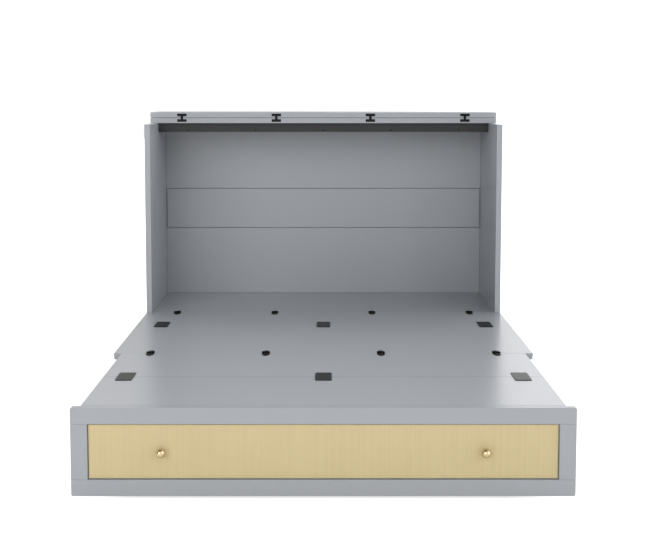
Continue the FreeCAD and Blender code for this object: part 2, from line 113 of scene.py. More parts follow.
class Graph:
    """Adds nodes to one node tree and joins them."""

    def __init__(self, tree: bpy.types.NodeTree) -> None:
        """Keeps the tree to work on."""
        self.tree = tree

    def add(self, kind: str, inputs: Optional[dict] = None, **settings: object) -> bpy.types.Node:
        """Adds one node.

        Args:
            kind: Blender's name of the node type.
            inputs: a number, colour, vector or socket for each input, by the input's name or number.
            settings: the node's own properties.

        Returns:
            The new node.
        """
        node = self.tree.nodes.new(kind)
        for name, setting in settings.items():
            setattr(node, name, setting)
        for name, value in (inputs or {}).items():
            self.feed(value, node.inputs[name])
        return node

    def feed(self, value: Value, socket: bpy.types.NodeSocket) -> None:
        """Links a socket to an input, or sets the input's own value."""
        if isinstance(value, bpy.types.NodeSocket):
            self.tree.links.new(value, socket)
        else:
            socket.default_value = value

    def math(self, operation: str, *values: Value) -> bpy.types.NodeSocket:
        """Returns the result of one arithmetic step."""
        node = self.add("ShaderNodeMath", dict(enumerate(values)), operation=operation)
        return node.outputs[0]

    def parts(self, vector: bpy.types.NodeSocket) -> list[bpy.types.NodeSocket]:
        """Returns the x, y and z of a vector."""
        return list(self.add("ShaderNodeSeparateXYZ", {0: vector}).outputs)

    def vector(self, x: Value, y: Value, z: Value) -> bpy.types.NodeSocket:
        """Returns a vector made from its three parts."""
        return self.add("ShaderNodeCombineXYZ", {0: x, 1: y, 2: z}).outputs[0]

    def scaled(self, vector: Value, x: float, y: float, z: float) -> bpy.types.NodeSocket:
        """Returns a vector multiplied part by part."""
        node = self.add("ShaderNodeVectorMath", {0: vector, 1: (x, y, z)}, operation="MULTIPLY")
        return node.outputs[0]

    def noise(self, vector: Value, scale: Value, detail: float) -> bpy.types.NodeSocket:
        """Returns smooth noise from 0 to 1, with its scale in cells per metre."""
        node = self.add("ShaderNodeTexNoise", {"Vector": vector, "Scale": scale, "Detail": detail})
        return node.outputs[0]

    def span(self, value: Value, low: Value, high: Value, start: Value, end: Value) -> bpy.types.NodeSocket:
        """Returns a value carried from the range low..high to the range start..end, and held at its ends."""
        inputs = {0: value, 1: low, 2: high, 3: start, 4: end}
        return self.add("ShaderNodeMapRange", inputs, clamp=True).outputs[0]

    def mix(self, share: Value, first: Value, second: Value) -> bpy.types.NodeSocket:
        """Returns a colour between two colours."""
        inputs = {0: share, 6: opaque(first), 7: opaque(second)}
        return self.add("ShaderNodeMix", inputs, data_type="RGBA").outputs[2]

    def bump(self, height: Value, depth: float) -> bpy.types.NodeSocket:
        """Returns a normal tilted by a height from 0 to 1 that stands for a depth in metres."""
        return self.add("ShaderNodeBump", {"Height": height, "Distance": depth, "Strength": 1.0}).outputs[0]


def opaque(colour: Value) -> Value:
    """Gives a plain colour its fourth number, and leaves sockets alone."""
    if isinstance(colour, bpy.types.NodeSocket):
        return colour
    return (*colour, 1.0)


class Effect:
    """A shader node group that is built once and placed in every material that uses it."""

    name = ""
    takes: dict[str, str] = {}
    gives: dict[str, str] = {}
    KINDS = {"value": "NodeSocketFloat", "colour": "NodeSocketColor", "vector": "NodeSocketVector"}

    def tree(self) -> bpy.types.NodeTree:
        """Returns the group, and builds it the first time."""
        found = bpy.data.node_groups.get(self.name)
        if found:
            return found
        tree = bpy.data.node_groups.new(self.name, "ShaderNodeTree")
        for direction, sockets in (("INPUT", self.takes), ("OUTPUT", self.gives)):
            for name, kind in sockets.items():
                tree.interface.new_socket(name, in_out=direction, socket_type=self.KINDS[kind])
        graph = Graph(tree)
        source = graph.add("NodeGroupInput")
        results = self.draw(graph, {name: source.outputs[name] for name in self.takes})
        graph.add("NodeGroupOutput", results)
        return tree

    def draw(self, graph: Graph, given: dict) -> dict:
        """Adds the group's own nodes.

        Args:
            graph: the group's tree.
            given: the group's inputs by name.

        Returns:
            The socket for each of the group's outputs, by name.
        """
        raise NotImplementedError

    def place(self, graph: Graph, **values: Value) -> bpy.types.Node:
        """Places the group in a tree and feeds its inputs."""
        node = graph.add("ShaderNodeGroup", node_tree=self.tree())
        for name, value in values.items():
            graph.feed(value, node.inputs[name])
        return node


class SprayedSkin(Effect):
    """Fine orange peel of a sprayed or moulded skin, as a height from 0 to 1."""

    name = "sprayed_skin"
    takes = {"position": "vector", "grains_per_metre": "value"}
    gives = {"height": "value"}
    fine_ratio = 2.7
    fine_share = 0.35

    def draw(self, graph: Graph, given: dict) -> dict:
        """Adds a coarse and a fine noise together."""
        coarse = graph.noise(given["position"], given["grains_per_metre"], 1.0)
        finer = graph.math("MULTIPLY", given["grains_per_metre"], self.fine_ratio)
        fine = graph.noise(given["position"], finer, 2.0)
        rest = graph.math("MULTIPLY", coarse, 1.0 - self.fine_share)
        return {"height": graph.math("MULTIPLY_ADD", fine, self.fine_share, rest)}


class Handling(Effect):
    """Uneven gloss from wiping and handling, as a roughness to use instead of a plain one."""

    name = "handling"
    takes = {"position": "vector", "roughness": "value", "unevenness": "value"}
    gives = {"roughness": "value"}
    patches_per_metre = 3.1
    streaks_per_metre = (9.0, 46.0, 31.0)
    streak_share = 0.35

    def draw(self, graph: Graph, given: dict) -> dict:
        """Adds soft patches, and faint streaks a hand's breadth long."""
        patches = graph.noise(given["position"], self.patches_per_metre, 3.0)
        streaks = graph.noise(graph.scaled(given["position"], *self.streaks_per_metre), 1.0, 3.0)
        rest = graph.math("MULTIPLY", patches, 1.0 - self.streak_share)
        both = graph.math("MULTIPLY_ADD", streaks, self.streak_share, rest)
        swing = graph.math("MULTIPLY", graph.math("SUBTRACT", both, 0.5), given["unevenness"])
        return {"roughness": graph.math("ADD", given["roughness"], swing)}


class ToneDrift(Effect):
    """Slow drift of a colour's lightness across a surface."""

    name = "tone_drift"
    takes = {"position": "vector", "colour": "colour", "patches_per_metre": "value", "drift": "value"}
    gives = {"colour": "colour"}

    def draw(self, graph: Graph, given: dict) -> dict:
        """Scales the colour by soft noise about one."""
        patches = graph.noise(given["position"], given["patches_per_metre"], 3.0)
        swing = graph.math("MULTIPLY", graph.math("SUBTRACT", patches, 0.5), given["drift"])
        factor = graph.math("ADD", swing, 1.0)
        scaled = graph.add("ShaderNodeVectorMath", {0: given["colour"], "Scale": factor}, operation="SCALE")
        return {"colour": scaled.outputs[0]}


class WoodGrain(Effect):
    """Growth rings and pores of planed wood whose grain runs along the position's z."""

    name = "wood_grain"
    takes = {"position": "vector", "early": "colour", "late": "colour", "rings_per_metre": "value",
             "waviness": "value"}
    gives = {"colour": "colour", "height": "value"}
    pith = (0.061, 0.037)
    waves_per_metre = (6.0, 6.0, 1.1)
    pores_per_metre = (1700.0, 1700.0, 38.0)
    fibres_per_metre = (420.0, 420.0, 9.0)
    late_rise, late_fall = 0.55, 0.93
    pore_band = (0.56, 0.74)
    late_tone, pore_tone, fibre_tone = 0.62, 0.22, 0.5
    late_height, pore_depth = 0.6, 0.4

    def draw(self, graph: Graph, given: dict) -> dict:
        """Bends rings about z with slow noise, and lays fine pores along z."""
        position = given["position"]
        x, y, _ = graph.parts(position)
        squares = [graph.math("POWER", graph.math("ADD", part, off), 2.0)
                   for part, off in zip((x, y), self.pith)]
        radius = graph.math("SQRT", graph.math("ADD", *squares))
        slow = graph.noise(graph.scaled(position, *self.waves_per_metre), 1.0, 2.0)
        bent = graph.math("MULTIPLY_ADD", slow, given["waviness"], radius)
        ring = graph.math("FRACT", graph.math("MULTIPLY", bent, given["rings_per_metre"]))
        late = graph.math("MULTIPLY", graph.span(ring, self.late_rise, 1.0, 0.0, 1.0),
                          graph.span(ring, self.late_fall, 1.0, 1.0, 0.0))
        pores = graph.noise(graph.scaled(position, *self.pores_per_metre), 1.0, 2.0)
        pore = graph.span(pores, *self.pore_band, 0.0, 1.0)
        fibres = graph.noise(graph.scaled(position, *self.fibres_per_metre), 1.0, 3.0)
        fibre = graph.math("SUBTRACT", fibres, 0.5)
        tone = graph.math("MULTIPLY_ADD", late, self.late_tone, graph.math("MULTIPLY", pore, self.pore_tone))
        tone = graph.math("MULTIPLY_ADD", fibre, self.fibre_tone, tone)
        sunk = graph.math("MULTIPLY", pore, self.pore_depth)
        return {"colour": graph.mix(graph.span(tone, 0.0, 1.0, 0.0, 1.0), given["early"], given["late"]),
                "height": graph.math("SUBTRACT", graph.math("MULTIPLY", late, self.late_height), sunk)}


# ---- Finishes -----------------------------------------------------------------------------------------


class Blank:
    """An empty material with a Principled shader, and the position on the piece."""

    def __init__(self, name: str) -> None:
        """Makes the material."""
        self.material = bpy.data.materials.new(name)
        self.material.use_nodes = True
        tree = self.material.node_tree
        tree.nodes.clear()
        self.graph = Graph(tree)
        self.shader = self.graph.add("ShaderNodeBsdfPrincipled")
        output = self.graph.add("ShaderNodeOutputMaterial")
        tree.links.new(self.shader.outputs[0], output.inputs[0])
        self.position = self.graph.add("ShaderNodeTexCoord").outputs["Object"]

    def dress(self, **values: Value) -> bpy.types.Material:
        """Feeds the shader's inputs, where an underscore stands for a space, and returns the material."""
        for name, value in values.items():
            self.graph.feed(value, self.shader.inputs[name.replace("_", " ").title().replace("Ior", "IOR")])
        return self.material

    def along(self, grain: Axis) -> bpy.types.NodeSocket:
        """Returns the position with its z along the grain."""
        x, y, z = self.graph.parts(self.position)
        order = {Axis.X: (y, z, x), Axis.Y: (z, x, y), Axis.Z: (x, y, z)}
        return self.graph.vector(*order[grain])


@dataclass(frozen=True)
class Skin:
    """Smooth skin with a fine grain, whose colour drifts slowly and whose gloss is uneven."""

    name: str
    colour: Colour
    roughness: float
    unevenness: float = 0.08
    drift: float = 0.15
    grain_depth: float = 0.03 * MM
    grains_per_metre: float = 1900.0
    patches_per_metre: float = 60.0
    handling_scale: float = 10.0

    def surface(self, blank: Blank) -> dict[str, Value]:
        """Returns what the shader takes, by the names that Blank.dress reads."""
        graph = blank.graph
        tone = ToneDrift().place(graph, position=blank.position, colour=opaque(self.colour),
                                 patches_per_metre=self.patches_per_metre, drift=self.drift)
        spread = graph.scaled(blank.position, self.handling_scale, self.handling_scale, self.handling_scale)
        gloss = Handling().place(graph, position=spread, roughness=self.roughness,
                                 unevenness=self.unevenness)
        grain = SprayedSkin().place(graph, position=blank.position, grains_per_metre=self.grains_per_metre)
        return {"base_color": tone.outputs[0], "roughness": gloss.outputs[0],
                "normal": graph.bump(grain.outputs[0], self.grain_depth)}


@dataclass(frozen=True)
class Lacquer(Skin):
    """Satin lacquer sprayed on smooth boards, with painted shade along the joints that cross them at some y:
    a thin dark grey line that stands for the shadow in each gap.
    """

    name: str = "satin_grey_lacquer"
    colour: Colour = (0.352, 0.368, 0.393)
    roughness: float = 0.25
    unevenness: float = 0.05
    drift: float = 0.035
    grain_depth: float = 0.02 * MM
    grains_per_metre: float = 520.0
    patches_per_metre: float = 2.3
    handling_scale: float = 1.0
    joints: tuple = ()
    joint_half: float = 1.0 * MM
    joint_fade: float = 0.8 * MM
    # painted shade: the dark grey that the lacquer is mixed towards along each joint
    painted_joint_shade: Colour = (0.16, 0.165, 0.175)

    def make(self) -> bpy.types.Material:
        """Returns the material."""
        blank = Blank(self.name)
        graph = blank.graph
        surface = self.surface(blank)
        # painted shade: darkens the lacquer in a thin line along each joint, standing for the shadow in the
        # gap
        for joint in self.joints:
            off = graph.math("ABSOLUTE", graph.math("SUBTRACT", graph.parts(blank.position)[1], joint))
            share = graph.span(off, self.joint_half, self.joint_half + self.joint_fade, 1.0, 0.0)
            surface["base_color"] = graph.mix(share, surface["base_color"], self.painted_joint_shade)
        return blank.dress(**surface)


@dataclass(frozen=True)
class Metal(Skin):
    """Bare, plated or polished metal."""

    patches_per_metre: float = 110.0
    handling_scale: float = 12.0

    def make(self) -> bpy.types.Material:
        """Returns the material."""
        blank = Blank(self.name)
        return blank.dress(metallic=1.0, **self.surface(blank))


@dataclass(frozen=True)
class Coating(Skin):
    """Opaque coating or moulded plastic."""

    gloss: float = 0.5

    def make(self) -> bpy.types.Material:
        """Returns the material."""
        blank = Blank(self.name)
        return blank.dress(specular_ior_level=self.gloss, **self.surface(blank))


@dataclass(frozen=True)
class Straw:
    """Split straw, woven: each reed has its own tone, with fine fibres along it."""

    name: str = "woven_straw"
    colour: Colour = (0.645, 0.54, 0.308)
    dark: Colour = (0.48, 0.375, 0.195)
    reed_pitch: float = 3.6 * MM
    fibre_band: tuple = (0.3, 0.7)
    roughness: tuple = (0.47, 0.65)
    fibre_depth: float = 0.04 * MM
    fibres_per_metre: tuple = (2600.0, 55.0, 55.0)
    patches_per_metre: float = 14.0
    reed_tone: float = 0.16
    fibre_tone: float = 0.34
    patch_tone: float = 0.14
    tone_band: tuple = (0.16, 0.62)
    darkest: float = 0.42

    def make(self) -> bpy.types.Material:
        """Returns the material."""
        blank = Blank(self.name)
        graph = blank.graph
        reed = graph.math("FLOOR", graph.math("DIVIDE", graph.parts(blank.position)[0], self.reed_pitch))
        own = graph.add("ShaderNodeTexWhiteNoise", {"W": reed}, noise_dimensions="1D").outputs[0]
        fibres = graph.noise(graph.scaled(blank.position, *self.fibres_per_metre), 1.0, 3.0)
        patches = graph.noise(blank.position, self.patches_per_metre, 3.0)
        tone = graph.math("MULTIPLY", fibres, self.fibre_tone)
        tone = graph.math("MULTIPLY_ADD", own, self.reed_tone, tone)
        tone = graph.math("MULTIPLY_ADD", patches, self.patch_tone, tone)
        colour = graph.mix(graph.span(tone, *self.tone_band, 0.0, self.darkest), self.colour, self.dark)
        rough = graph.span(fibres, *self.fibre_band, *self.roughness)
        return blank.dress(base_color=colour, roughness=rough, normal=graph.bump(fibres, self.fibre_depth))


@dataclass(frozen=True)
class PlanedWood:
    """Planed wood with its rings and fibres, which is pine unless told otherwise."""

    name: str
    grain: Axis
    early: Colour = (0.70, 0.51, 0.30)
    late: Colour = (0.47, 0.27, 0.12)
    rings_per_metre: float = 210.0
    waviness: float = 0.018
    roughness: float = 0.62
    unevenness: float = 0.12
    relief: float = 0.12 * MM

    def surface(self, blank: Blank) -> dict[str, Value]:
        """Returns what the shader takes, by the names that Blank.dress reads."""
        graph = blank.graph
        wood = WoodGrain().place(graph, position=blank.along(self.grain), early=opaque(self.early),
                                 late=opaque(self.late), rings_per_metre=self.rings_per_metre,
                                 waviness=self.waviness)
        gloss = Handling().place(graph, position=blank.position, roughness=self.roughness,
                                 unevenness=self.unevenness)
        return {"base_color": wood.outputs[0], "roughness": gloss.outputs[0],
                "normal": graph.bump(wood.outputs[1], self.relief)}

    def make(self) -> bpy.types.Material:
        """Returns the material."""
        blank = Blank(self.name)
        return blank.dress(**self.surface(blank))


@dataclass(frozen=True, kw_only=True)
class Plywood(PlanedWood):
    """Clear lacquered birch plywood, with its veneers showing at the edges."""

    across: Axis
    start: float
    thickness: float
    veneer: float = 1.4 * MM
    early: Colour = (0.69, 0.53, 0.34)
    late: Colour = (0.56, 0.40, 0.23)
    edge: Colour = (0.42, 0.27, 0.14)
    rings_per_metre: float = 38.0
    waviness: float = 0.05
    roughness: float = 0.42
    unevenness: float = 0.1
    relief: float = 0.05 * MM
    inner_tone: float = 0.5
    glue_tone: float = 0.8
    glue_share: float = 0.1

    def make(self) -> bpy.types.Material:
        """Returns the material."""
        blank = Blank(self.name)
        graph = blank.graph
        surface = self.surface(blank)
        depth = graph.math("SUBTRACT", graph.parts(blank.position)[self.across.value], self.start)
        count = 2 * round(self.thickness / self.veneer / 2 - 0.5) + 1
        layer = graph.math("MULTIPLY", depth, count / self.thickness)
        odd = graph.math("FLOORED_MODULO", graph.math("FLOOR", layer), 2.0)
        inner = graph.math("MULTIPLY", graph.math("COMPARE", odd, 1.0, 0.1), self.inner_tone)
        near_glue = graph.math("LESS_THAN", graph.math("PINGPONG", layer, 1.0), self.glue_share)
        shade = graph.math("MAXIMUM", inner, graph.math("MULTIPLY", near_glue, self.glue_tone))
        core = graph.math("MULTIPLY", graph.math("GREATER_THAN", layer, 0.5),
                          graph.math("LESS_THAN", layer, count - 0.5))
        share = graph.math("MULTIPLY", shade, core)
        surface["base_color"] = graph.mix(share, surface["base_color"], self.edge)
        return blank.dress(**surface)


# ---- Shapes -------------------------------------------------------------------------------------------


class Shape:
    """A mesh that is being worked on, and that takes copies of other shapes."""

    def __init__(self) -> None:
        """Starts with nothing in it."""
        self.bm = bmesh.new()

    def add(self, other: "Shape", place: Matrix) -> None:
        """Adds a copy of another shape, moved by a matrix."""
        mesh = bpy.data.meshes.new("copy")
        other.bm.to_mesh(mesh)
        mesh.transform(place)
        self.bm.from_mesh(mesh)
        bpy.data.meshes.remove(mesh)

    def ease(self, edges: Iterable[bmesh.types.BMEdge], width: float, segments: int) -> None:
        """Rounds some edges."""
        bmesh.ops.bevel(self.bm, geom=list(edges), offset=width, offset_type="OFFSET", segments=segments,
                        profile=0.5, affect="EDGES", clamp_overlap=True, material=-1)

    def sharp_edges(self) -> list[bmesh.types.BMEdge]:
        """Returns the edges whose two faces meet at a sharp angle."""
        self.bm.normal_update()
        return [edge for edge in self.bm.edges if edge.is_manifold and edge.calc_face_angle(0.0) > SHARP]


def corners(made: list) -> list[bmesh.types.BMVert]:
    """Returns the corners among what an operator made."""
    return [item for item in made if isinstance(item, bmesh.types.BMVert)]


def block(low: Sequence[float], high: Sequence[float], ease: float) -> Shape:
    """Returns a box between two corners, with chamfered edges."""
    shape = Shape()
    size = Vector(high) - Vector(low)
    place = Matrix.Translation((Vector(low) + Vector(high)) / 2) @ Matrix.Diagonal((*size, 1.0))
    bmesh.ops.create_cube(shape.bm, size=1.0, matrix=place)
    shape.ease(shape.bm.edges, ease, 1)
    return shape


def turned(profile: Sequence[tuple[float, float]], steps: int, closed: bool = False) -> Shape:
    """Turns a profile about z.

    Args:
        profile: (radius, height) points, which end on the axis at both ends unless the profile is closed.
        steps: sides of the turning.
        closed: whether the profile is a loop, as for a tube or a wheel with a bore.

    Returns:
        The closed shape.
    """
    shape = Shape()
    bm = shape.bm
    verts = [bm.verts.new((radius, 0.0, height)) for radius, height in profile]
    pairs = list(zip(verts, verts[1:]))
    if closed:
        pairs.append((verts[-1], verts[0]))
    edges = [bm.edges.new(pair) for pair in pairs]
    bmesh.ops.spin(bm, geom=verts + edges, cent=(0, 0, 0), axis=(0, 0, 1), dvec=(0, 0, 0),
                   angle=FULL_TURN, steps=steps, use_merge=True, use_duplicate=False)
    bmesh.ops.remove_doubles(bm, verts=bm.verts, dist=HAIR)
    bmesh.ops.recalc_face_normals(bm, faces=bm.faces)
    return shape


def facing(point: Sequence[float], direction: Sequence[float], spin: float = 0.0) -> Matrix:
    """Stands a shape along a direction at a point.

    Args:
        point: where its origin goes.
        direction: where its z goes.
        spin: its turn about z before that. For a screw it is any angle that the driver leaves it at.

    Returns:
        The matrix that does this.
    """
    turn = Vector((0, 0, 1)).rotation_difference(Vector(direction)).to_matrix().to_4x4()
    return Matrix.Translation(Vector(point)) @ turn @ Matrix.Rotation(spin, 4, "Z")


@dataclass(frozen=True)
class Screw:
    """Head of a cross-recessed screw, standing a little proud of the face it is driven into.

    The shares are of the head's radius, but for the recess's, which is of how far the head stands proud.
    """

    radius: float
    proud: float
    sunk: float = 0.3 * MM
    sides: int = 20
    top_share: float = 0.86
    arm_share: float = 0.55
    slot_share: float = 0.15
    taper: float = 0.62
    recess_share: float = 0.9

    def shape(self) -> Shape:
        """Returns the head with its recess, on z = 0 and facing +z."""
        shape = Shape()
        bm = shape.bm
        bmesh.ops.create_circle(bm, cap_ends=False, segments=self.sides, radius=self.radius * self.top_share)
        rim = list(bm.edges)
        arm = self.radius * self.arm_share
        made = bmesh.ops.create_circle(bm, cap_ends=False, segments=12, radius=arm,
                                       matrix=Matrix.Rotation(math.radians(15), 4, "Z"))
        for vert in made["verts"]:
            vert.co.x, vert.co.y = self.cross_point(vert.co.x, vert.co.y, arm, self.radius * self.slot_share)
        cross = [edge for edge in bm.edges if edge not in rim]
        bmesh.ops.bridge_loops(bm, edges=rim + cross)
        self.sink(bm, cross, self.taper, -self.recess_share * self.proud - self.sunk)
        self.sink(bm, rim, 1.0 / self.top_share, -self.proud / 2)
        outer = [edge for edge in bm.edges if edge.is_boundary]
        self.sink(bm, outer, 1.0, -self.proud / 2 - self.sunk)
        bmesh.ops.translate(bm, vec=(0, 0, self.proud), verts=bm.verts)
        bmesh.ops.recalc_face_normals(bm, faces=bm.faces)
        return shape

    @staticmethod
    def cross_point(x: float, y: float, arm: float, half: float) -> tuple[float, float]:
        """Moves a point of a twelve-sided ring to the nearest corner of a cross."""
        wide = half if abs(abs(x) - abs(y)) < 0.2 * arm else arm
        along = (wide, half) if abs(x) > abs(y) else (half, wide)
        return math.copysign(along[0], x), math.copysign(along[1], y)

    @staticmethod
    def sink(bm: bmesh.types.BMesh, edges: list, scale: float, drop: float) -> None:
        """Carries a ring of edges down and in or out, and closes it when it is the last."""
        made = bmesh.ops.extrude_edge_only(bm, edges=edges)["geom"]
        moved = corners(made)
        bmesh.ops.scale(bm, vec=(scale, scale, 1.0), verts=moved)
        bmesh.ops.translate(bm, vec=(0, 0, drop), verts=moved)
        if scale <= 1.0:
            ring = [item for item in made if isinstance(item, bmesh.types.BMEdge)]
            bmesh.ops.contextual_create(bm, geom=ring)


# ---- Workshop -----------------------------------------------------------------------------------------


class Workshop:
    """Turns shapes into finished pieces that ride on the model's bodies."""

    def __init__(self, frame: dict) -> None:
        """Keeps the frame, and makes the finishes that many pieces share.
        """
        self.frame = frame
        self.lacquer = Lacquer().make()
        self.straw = Straw().make()
        self.binding = Straw(name="binding_thread", colour=(0.62, 0.515, 0.29), dark=(0.46, 0.355, 0.18),
                             reed_pitch=0.9 * MM).make()
        self.brass = Metal("polished_brass", (0.74, 0.60, 0.37), 0.22, unevenness=0.05, drift=0.05,
                           grain_depth=0.01 * MM, grains_per_metre=900.0).make()
        self.black_steel = Coating("satin_black_steel", (0.010, 0.0105, 0.011), 0.30, gloss=0.08).make()
        self.hinge_black = Coating("matt_black_hinge", (0.0085, 0.0088, 0.0092), 0.45, gloss=0.03).make()
        self.rail_steel = Coating("dark_grey_rail", (0.036, 0.037, 0.0385), 0.40, drift=0.12,
                                  gloss=0.2).make()
        self.black_screw = Coating("blackened_screw", (0.009, 0.009, 0.0095), 0.26, drift=0.1, gloss=0.3,
                                   grain_depth=0.01 * MM, grains_per_metre=2600.0).make()
        self.zinc = Metal("zinc_plate", (0.60, 0.60, 0.61), 0.32, unevenness=0.12, drift=0.14,
                          grain_depth=0.015 * MM, grains_per_metre=700.0).make()
        self.plastic = Coating("moulded_black_plastic", (0.027, 0.027, 0.028), 0.50, drift=0.1,
                               grain_depth=0.04 * MM, grains_per_metre=2300.0).make()
        self.softwood = {axis: PlanedWood("planed_pine_" + axis.name.lower(), axis).make() for axis in Axis}

    def joint_place(self, name: str) -> Vector:
        """Returns a joint's place in the frame."""
        for joint in self.frame["joints"]:
            if joint["name"] == name:
                return Vector(joint["pos_m"])
        raise KeyError(name)

    def coat(self, node: str, material: bpy.types.Material) -> None:
        """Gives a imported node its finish.

        Args:
            node: the node's name.
            material: its only material.
        """
        thing = self.frame["nodes"][node]
        thing.data.materials.clear()
        thing.data.materials.append(material)
        LOG.info("finish %s: %s", node, material.name)

    def piece(self, shape: Shape, name: str, body: str, slot: Slot, materials: Sequence[bpy.types.Material],
              replaces: Sequence[str] = (), crease: float = 32.0) -> None:
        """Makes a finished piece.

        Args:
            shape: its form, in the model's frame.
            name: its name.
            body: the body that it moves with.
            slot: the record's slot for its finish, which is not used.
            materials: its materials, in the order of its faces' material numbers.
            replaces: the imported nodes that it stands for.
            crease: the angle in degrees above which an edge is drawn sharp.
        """
        mesh = bpy.data.meshes.new(name)
        shape.bm.to_mesh(mesh)
        shape.bm.free()
        for material in materials:
            mesh.materials.append(material)
        mesh.shade_smooth()
        mesh.set_sharp_from_angle(angle=math.radians(crease))
        thing = bpy.data.objects.new(name, mesh)
        bpy.context.scene.collection.objects.link(thing)
        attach(thing, body)
        if replaces:
            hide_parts(*replaces)
        LOG.info("piece %s on %s: %d faces", name, body, len(mesh.polygons))


# ---- Sub-assemblies -----------------------------------------------------------------------------------


@dataclass(frozen=True)
class WovenPanel:
    """Close plain weave: flat upright reeds over and under thin level threads."""

    pitch: float = 3.6 * MM
    row: float = 9.0 * MM
    relief: float = 0.9 * MM
    dip: float = 0.5 * MM
    shoulder: float = 0.2
    thread: float = 0.9 * MM
    thread_face: float = 0.22 * MM
    thread_chamfer: float = 0.2 * MM
    thickness: float = 6.0 * MM
    groove: float = 3.0 * MM

    def shape(self, width: float, height: float) -> Shape:
        """Weaves one panel, which leaves a groove between itself and its frame.

        Args:
            width: the frame's opening along x.
            height: the frame's opening along y.

        Returns:
            The panel about the origin, with the crowns of its reeds on z = 0 and facing +z.
        """
        width -= 2 * self.groove
        height -= 2 * self.groove
        shape = Shape()
        bm = shape.bm
        reeds = round(width / self.pitch)
        rows = round(height / self.row)
        columns = 3 * reeds
        bmesh.ops.create_grid(bm, x_segments=columns, y_segments=rows, size=0.5)
        shift = (0.0, self.shoulder - 1 / 3, 1 / 3 - self.shoulder)
        for vert in bm.verts:
            column = round((vert.co.x + 0.5) * columns)
            line = round((vert.co.y + 0.5) * rows)
            reed, part = divmod(column, 3)
            under = (reed + line) % 2
            depth = self.relief if part == 0 else self.dip * under
            x = (column / columns - 0.5) * width + shift[part] * self.pitch
            vert.co = (x, (line / rows - 0.5) * height, -depth)
        rim = [edge for edge in bm.edges if edge.is_boundary]
        for vert in corners(bmesh.ops.extrude_edge_only(bm, edges=rim)["geom"]):
            vert.co.z = -self.thickness
        bmesh.ops.holes_fill(bm, edges=[edge for edge in bm.edges if edge.is_boundary], sides=0)
        bmesh.ops.recalc_face_normals(bm, faces=bm.faces)
        self.lay_threads(shape, width, height, rows)
        return shape

    def lay_threads(self, shape: Shape, width: float, height: float, rows: int) -> None:
        """Adds the level threads, which show where a reed dips behind them."""
        start = len(shape.bm.faces)
        for line in range(1, rows):
            middle = (line / rows - 0.5) * height
            low = (-width / 2, middle - self.thread / 2, -self.relief)
            high = (width / 2, middle + self.thread / 2, -self.thread_face)
            shape.add(block(low, high, self.thread_chamfer), Matrix.Identity(4))
        shape.bm.faces.ensure_lookup_table()
        for face in shape.bm.faces[start:]:
            face.material_index = 1


@dataclass(frozen=True)
class BallKnob:
    """Turned knob: rose, neck and ball."""

    ball: float = 15.5 * MM
    reach: float = 35.0 * MM
    rose: float = 8.0 * MM
    neck: float = 4.5 * MM
    sides: int = 56
    rings: int = 30

    def shape(self) -> Shape:
        """Returns the knob on z = 0, facing +z."""
        centre = self.reach - self.ball
        profile = [
            (0.0, 0.0),
            (self.rose - 0.2 * MM, 0.0),
            (self.rose, 0.2 * MM),
            (self.rose, 1.1 * MM),
            (self.rose - 0.4 * MM, 1.5 * MM),
            (self.neck + 1.1 * MM, 1.7 * MM),
            (self.neck + 0.3 * MM, 2.1 * MM),
            (self.neck, 2.9 * MM),
        ]
        first = math.asin(self.neck / self.ball)
        for number in range(self.rings):
            turn = first + number * (math.pi - first) / self.rings
            profile.append((self.ball * math.sin(turn), centre - self.ball * math.cos(turn)))
        profile.append((0.0, self.reach))
        return turned(profile, self.sides)


class Assembly:
    """A group of pieces that the workshop finishes."""

    def __init__(self, shop: Workshop) -> None:
        """Keeps the workshop."""
        self.shop = shop

    def drive(self, name: str, body: str, screw: Screw, places: Iterable[Matrix],
              plated: bool = False) -> None:
        """Drives screws in, and makes one piece of them.

        Args:
            name: the piece's name.
            body: the body that they move with.
            screw: their kind.
            places: where each of them is.
            plated: whether they are zinc plated, and not black.
        """
        head = screw.shape()
        screws = Shape()
        for place in places:
            screws.add(head, place)
        shop = self.shop
        slot, finish = (Slot.PLAIN_STEEL, shop.zinc) if plated else (Slot.BLACK_STEEL, shop.black_screw)
        shop.piece(screws, name, body, slot, (finish,))


